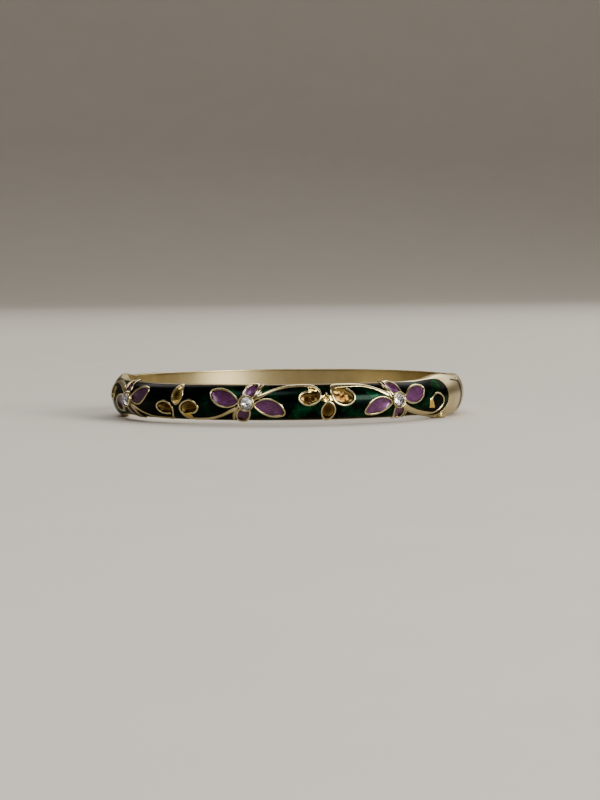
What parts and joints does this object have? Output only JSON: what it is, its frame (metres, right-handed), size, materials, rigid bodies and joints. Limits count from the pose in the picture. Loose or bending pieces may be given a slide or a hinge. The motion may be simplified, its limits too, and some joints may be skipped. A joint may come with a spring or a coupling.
{
  "type": "hinged enamelled bangle",
  "caption": "Hinged gold-plated bangle with a domed dark green enamel band, raised wire flowers with purple petals, gold loops and clear round stones.",
  "frame": {"origin": "on the surface that the bangle lies on, under the middle of the ring", "axes": "+Z is the ring's axis and up as it lies on its side, -Y is the middle flower of the decorated half, +X is the clasp"},
  "size_m": [0.068, 0.0683, 0.0082],
  "materials": {
    "gold": "polished pale gold plate",
    "green_glass": "polished translucent dark green enamel over an engine-turned ground",
    "purple_glass": "polished translucent purple enamel",
    "crystal": "clear cut stone"
  },
  "bodies": {
    "front": {"front_half": "gold", "green_enamel": "green_glass", "petal_glass_1": "purple_glass", "petal_glass_2": "purple_glass", "petal_glass_3": "purple_glass", "petal_glass_4": "purple_glass", "petal_glass_5": "purple_glass", "petal_glass_6": "purple_glass", "petal_glass_7": "purple_glass", "petal_glass_8": "purple_glass", "petal_glass_9": "purple_glass", "petal_glass_10": "purple_glass", "petal_glass_11": "purple_glass", "petal_glass_12": "purple_glass", "crystal_left": "crystal", "crystal_middle": "crystal", "crystal_right": "crystal", "hinge_pin": "gold", "thumb_tab": "gold"},
    "back": {"back_half": "gold", "clasp_tongue": "gold"}
  },
  "joints": [
    {"name": "hinge", "type": "hinge", "parent": "front", "child": "back", "pos_m": [-0.03275, 0, 0], "axis": [0, 0, 1], "range_deg": [0, 70]}
  ]
}
